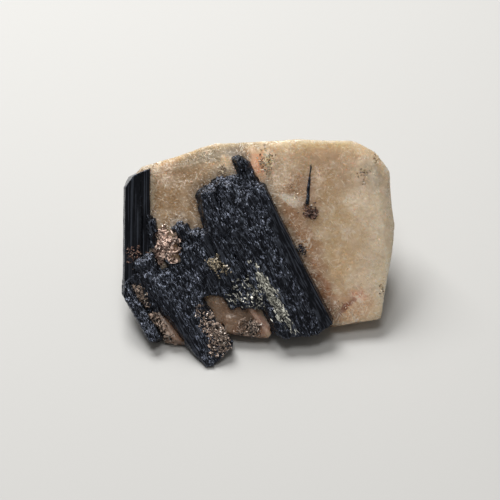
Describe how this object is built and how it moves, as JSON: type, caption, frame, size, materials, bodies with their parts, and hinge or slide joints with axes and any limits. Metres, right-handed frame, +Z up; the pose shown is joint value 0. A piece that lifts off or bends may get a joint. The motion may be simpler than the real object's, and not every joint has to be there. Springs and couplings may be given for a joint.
{
  "type": "black tourmaline in quartz specimen",
  "caption": "Broken lump of cloudy smoky quartz with ribbed black tourmaline crystals and small pink mica books grown into one face, resting on a flat break.",
  "frame": {"origin": "middle of the bounding box, on the surface that the stone rests on", "axes": "+Z up; +X to the right along the stone's width, seen from the side that shows the crystals; +Y to the back. The crystal face looks along -Y and leans back 45 degrees."},
  "size_m": [0.058, 0.0456, 0.0309],
  "materials": {
    "quartz": "cloudy, pale brown, glassy on breaks",
    "tourmaline": "black, glassy, finely ribbed and etched",
    "mica": "pink-brown, pearly flakes"
  },
  "bodies": {
    "root": {"quartz_matrix": "quartz", "tourmaline_cluster": "tourmaline", "tourmaline_left_prism": "tourmaline", "tourmaline_edge_crystals": "tourmaline", "tourmaline_needle": "tourmaline", "tourmaline_sliver": "tourmaline", "mica_rosette": "mica", "mica_pocket": "mica", "mica_streak": "mica", "mica_patch": "mica", "mica_foot": "mica", "mica_window": "mica", "mica_edge": "mica", "mica_left": "mica"}
  },
  "joints": []
}
